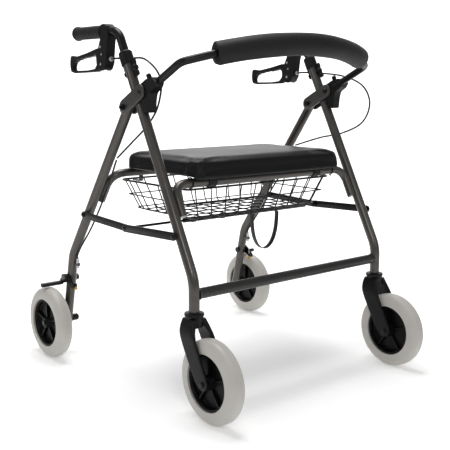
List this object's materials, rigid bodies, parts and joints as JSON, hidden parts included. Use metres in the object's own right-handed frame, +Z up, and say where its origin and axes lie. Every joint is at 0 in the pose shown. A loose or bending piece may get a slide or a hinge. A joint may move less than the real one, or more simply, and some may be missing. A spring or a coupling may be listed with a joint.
{
  "type": "bariatric rollator",
  "caption": "Wide folding four-wheel rollator with padded seat, wire basket, curved backrest, height-adjustable handles and loop brakes.",
  "frame": {"origin": "on the floor, under the middle of the rollator", "axes": "+Z up; the front, with the swivelling wheels, faces -Y, and the user walks behind at +Y; +X is the side called left"},
  "size_m": [0.797, 0.865, 0.9161],
  "materials": {
    "frame_paint": "satin metallic grey powder coat",
    "dark_paint": "satin dark grey powder coat",
    "black_steel": "black powder coat",
    "black_plastic": "moulded black nylon",
    "grip_rubber": "matt ribbed rubber",
    "tyre_grey": "smooth light grey solid tyre",
    "seat_vinyl": "padded black vinyl",
    "pad_foam": "matt black skinned foam",
    "webbing": "woven black webbing",
    "cable_black": "black cable sheath"
  },
  "bodies": {
    "front_frame": {"crossbar": "dark_paint", "seat_rail_front": "dark_paint", "front_leg_right": "frame_paint", "hub_plates_right": "frame_paint", "hub_pivot_bolt_right": "black_steel", "height_collar_right": "black_plastic", "front_leg_left": "frame_paint", "hub_plates_left": "frame_paint", "hub_pivot_bolt_left": "black_steel", "height_collar_left": "black_plastic"},
    "rear_frame": {"seat_rail_rear": "dark_paint", "rear_leg_right": "frame_paint", "cable_lower_right": "cable_black", "rear_leg_left": "frame_paint", "cable_lower_left": "cable_black"},
    "front_braces": {"brace_front_right": "black_steel", "brace_front_left": "black_steel", "fold_bar": "black_steel"},
    "rear_braces": {"brace_rear_right": "black_steel", "brace_rear_left": "black_steel"},
    "fold_strap": {"fold_strap": "webbing"},
    "seat": {"seat_cushion": "seat_vinyl", "seat_clip_right": "black_plastic", "seat_clip_left": "black_plastic"},
    "basket": {"basket_front": "black_steel", "basket_rear": "black_steel", "basket_right": "black_steel", "basket_left": "black_steel", "basket_floor": "black_steel"},
    "backrest": {"backrest_tube": "black_steel", "backrest_pad": "pad_foam", "backrest_prop_right": "black_plastic", "backrest_prop_left": "black_plastic"},
    "handle_right": {"handle_tube_right": "black_steel", "grip_right": "grip_rubber", "brake_housing_right": "black_plastic", "cable_upper_right": "cable_black"},
    "lever_right": {"brake_lever_right": "black_plastic"},
    "knob_right": {"wing_knob_right": "black_plastic"},
    "brake_right": {"brake_arm_right": "black_steel"},
    "caster_right": {"caster_fork_right": "black_plastic"},
    "front_wheel_right": {"front_tyre_right": "tyre_grey", "front_rim_right": "black_plastic"},
    "rear_wheel_right": {"rear_tyre_right": "tyre_grey", "rear_rim_right": "black_plastic"},
    "handle_left": {"handle_tube_left": "black_steel", "grip_left": "grip_rubber", "brake_housing_left": "black_plastic", "cable_upper_left": "cable_black"},
    "lever_left": {"brake_lever_left": "black_plastic"},
    "knob_left": {"wing_knob_left": "black_plastic"},
    "brake_left": {"brake_arm_left": "black_steel"},
    "caster_left": {"caster_fork_left": "black_plastic"},
    "front_wheel_left": {"front_tyre_left": "tyre_grey", "front_rim_left": "black_plastic"},
    "rear_wheel_left": {"rear_tyre_left": "tyre_grey", "rear_rim_left": "black_plastic"}
  },
  "joints": [
    {"name": "frame_fold", "type": "hinge", "parent": "front_frame", "child": "rear_frame", "pos_m": [0, -0.008, 0.713], "axis": [1, 0, 0], "range_deg": [-45, 0]},
    {"name": "front_brace_fold", "type": "hinge", "parent": "front_frame", "child": "front_braces", "pos_m": [0, -0.21392, 0.4215], "axis": [1, 0, 0], "range_deg": [-90, 0]},
    {"name": "rear_brace_fold", "type": "hinge", "parent": "rear_frame", "child": "rear_braces", "pos_m": [0, 0.19984, 0.4215], "axis": [1, 0, 0], "range_deg": [0, 87.4]},
    {"name": "strap_hang", "type": "hinge", "parent": "front_braces", "child": "fold_strap", "pos_m": [0, -0.0086, 0.4135], "axis": [1, 0, 0], "range_deg": [0, 90]},
    {"name": "seat_lift", "type": "hinge", "parent": "front_frame", "child": "seat", "pos_m": [0, -0.15574, 0.5335], "axis": [1, 0, 0], "range_deg": [0, 90]},
    {"name": "basket_swing", "type": "hinge", "parent": "front_frame", "child": "basket", "pos_m": [0, -0.15574, 0.5335], "axis": [1, 0, 0], "range_deg": [-20.8, 0]},
    {"name": "backrest_swing", "type": "hinge", "parent": "front_frame", "child": "backrest", "pos_m": [0, -0.078, 0.75], "axis": [1, 0, 0], "range_deg": [-60, 0]},
    {"name": "height_right", "type": "slide", "parent": "front_frame", "child": "handle_right", "axis": [0, 0.461, 0.8874], "range_m": [-0.0318, 0.0636], "deforming": ["cable_upper_right"]},
    {"name": "brake_squeeze_right", "type": "hinge", "parent": "handle_right", "child": "lever_right", "pos_m": [-0.319, 0.09461, 0.84202], "axis": [1, 0, 0], "range_deg": [0, 12], "stiffness_Nm_per_rad": 0.5},
    {"name": "brake_press_right", "type": "hinge", "parent": "rear_frame", "child": "brake_right", "pos_m": [-0.319, 0.3035, 0.227], "axis": [1, 0, 0], "range_deg": [-3.2, 0]},
    {"name": "knob_turn_right", "type": "hinge", "parent": "front_frame", "child": "knob_right", "pos_m": [-0.319, -0.01831, 0.79807], "axis": [0, -0.8874, 0.461], "continuous": true},
    {"name": "caster_swivel_right", "type": "hinge", "parent": "front_frame", "child": "caster_right", "pos_m": [-0.319, -0.2657, 0.2495], "axis": [0, 0, 1], "continuous": true},
    {"name": "front_wheel_spin_right", "type": "hinge", "parent": "caster_right", "child": "front_wheel_right", "pos_m": [-0.319, -0.3325, 0.1], "axis": [1, 0, 0], "continuous": true},
    {"name": "rear_wheel_spin_right", "type": "hinge", "parent": "rear_frame", "child": "rear_wheel_right", "pos_m": [-0.374, 0.3325, 0.1], "axis": [1, 0, 0], "continuous": true},
    {"name": "height_left", "type": "slide", "parent": "front_frame", "child": "handle_left", "axis": [0, 0.461, 0.8874], "range_m": [0, 0.0954], "deforming": ["cable_upper_left"]},
    {"name": "brake_squeeze_left", "type": "hinge", "parent": "handle_left", "child": "lever_left", "pos_m": [0.319, 0.07995, 0.8138], "axis": [1, 0, 0], "range_deg": [0, 12], "stiffness_Nm_per_rad": 0.5},
    {"name": "brake_press_left", "type": "hinge", "parent": "rear_frame", "child": "brake_left", "pos_m": [0.319, 0.3035, 0.227], "axis": [1, 0, 0], "range_deg": [-3.2, 0]},
    {"name": "knob_turn_left", "type": "hinge", "parent": "front_frame", "child": "knob_left", "pos_m": [0.319, -0.01831, 0.79807], "axis": [0, -0.8874, 0.461], "continuous": true},
    {"name": "caster_swivel_left", "type": "hinge", "parent": "front_frame", "child": "caster_left", "pos_m": [0.319, -0.2657, 0.2495], "axis": [0, 0, -1], "continuous": true},
    {"name": "front_wheel_spin_left", "type": "hinge", "parent": "caster_left", "child": "front_wheel_left", "pos_m": [0.319, -0.3325, 0.1], "axis": [1, 0, 0], "continuous": true},
    {"name": "rear_wheel_spin_left", "type": "hinge", "parent": "rear_frame", "child": "rear_wheel_left", "pos_m": [0.374, 0.3325, 0.1], "axis": [1, 0, 0], "continuous": true}
  ],
  "couplings": [
    {"joint": "front_brace_fold", "follows": "frame_fold", "ratio": 1.978},
    {"joint": "rear_brace_fold", "follows": "frame_fold", "ratio": -1.92},
    {"joint": "strap_hang", "follows": "frame_fold", "ratio": -1.978},
    {"joint": "basket_swing", "follows": "frame_fold", "ratio": 0.45},
    {"joint": "brake_press_right", "follows": "brake_squeeze_right", "ratio": -0.25},
    {"joint": "brake_press_left", "follows": "brake_squeeze_left", "ratio": -0.25}
  ]
}
